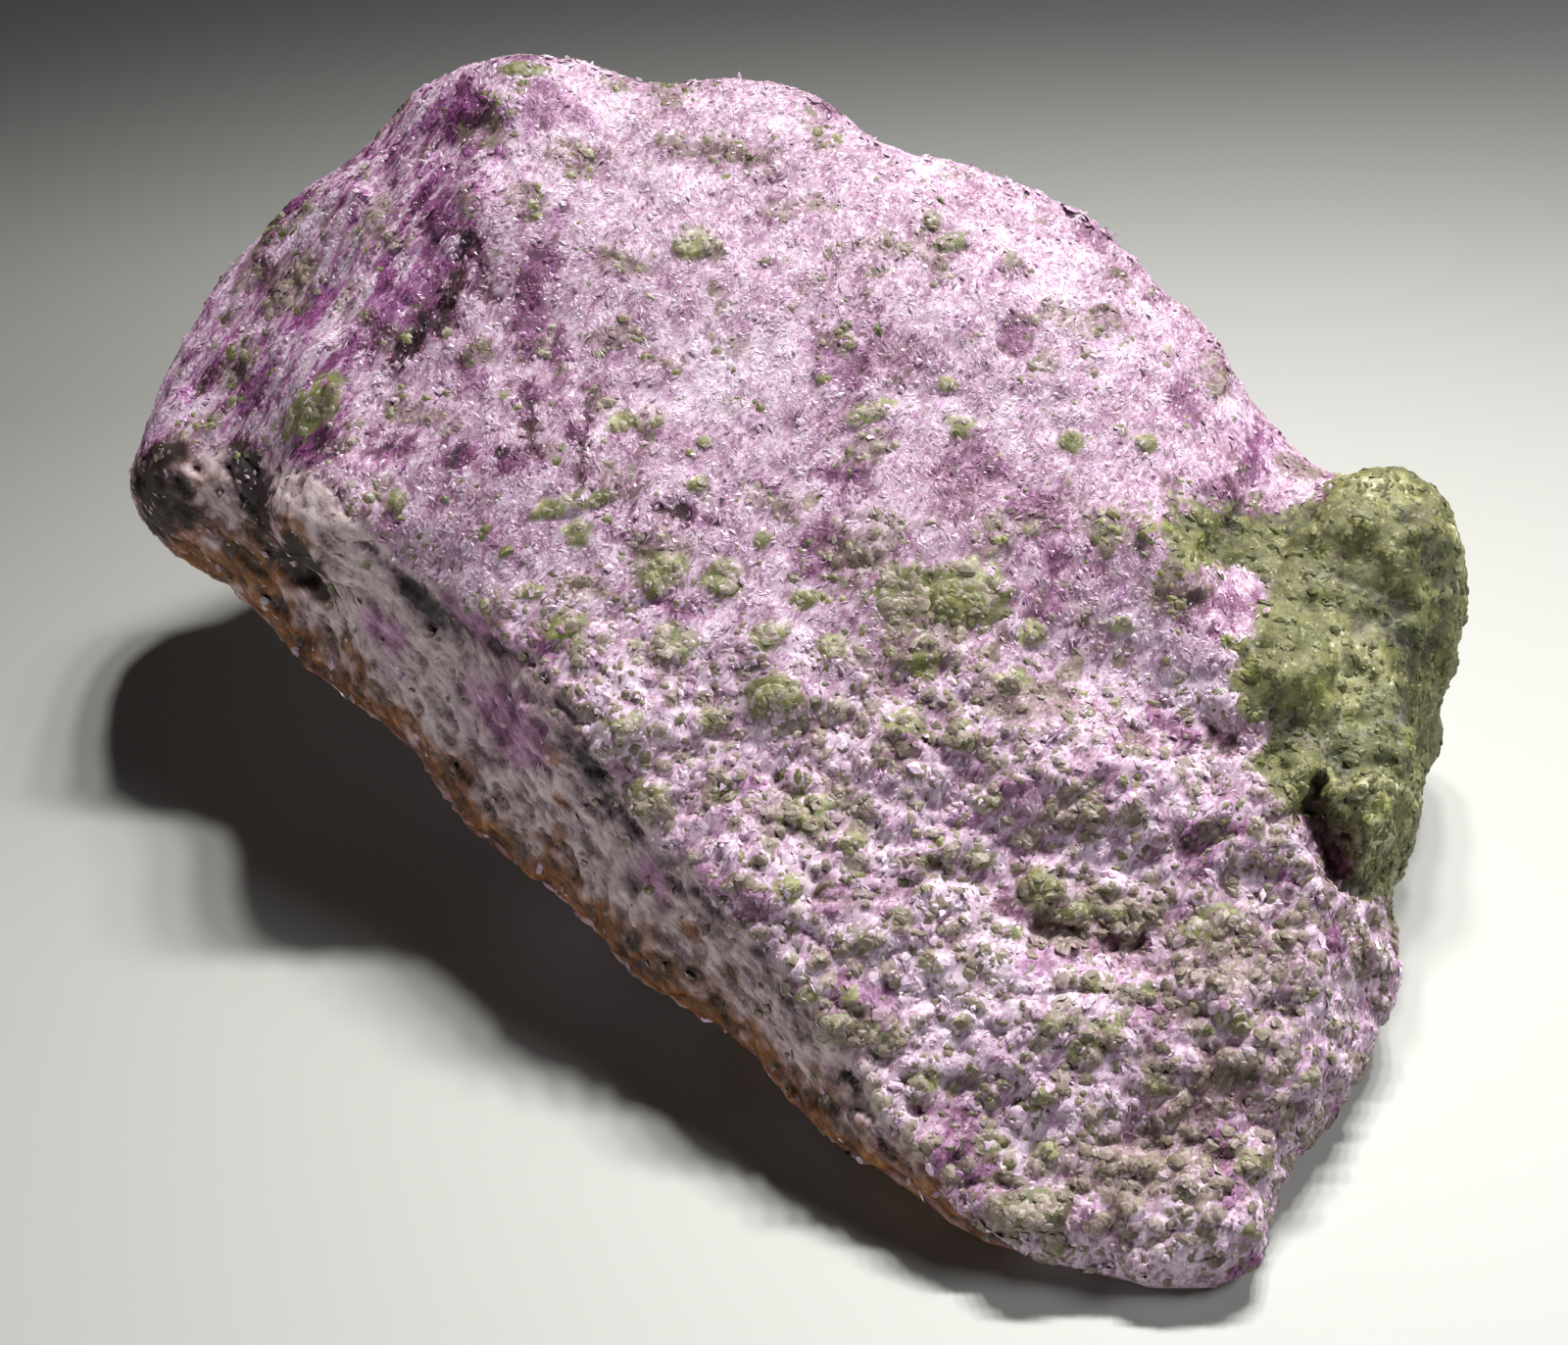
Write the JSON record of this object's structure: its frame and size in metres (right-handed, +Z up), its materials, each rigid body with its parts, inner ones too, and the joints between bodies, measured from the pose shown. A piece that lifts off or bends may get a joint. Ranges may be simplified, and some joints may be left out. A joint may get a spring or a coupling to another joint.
{
  "type": "stichtite specimen stone",
  "caption": "Rough lilac mineral hand specimen with a green serpentine horn and raised green nodules, resting on a flat broken underside.",
  "frame": {"origin": "middle of the bounding box, on the table that the stone rests on", "axes": "+X along the longest extent, towards the green horn; +Y away from the viewer, towards the high crest; +Z up"},
  "size_m": [0.0988, 0.0856, 0.0437],
  "materials": {
    "stone": "rough broken stone: fibrous silky lilac stichtite with olive green waxy serpentine"
  },
  "bodies": {
    "root": {"stichtite_stone": "stone"}
  },
  "joints": []
}
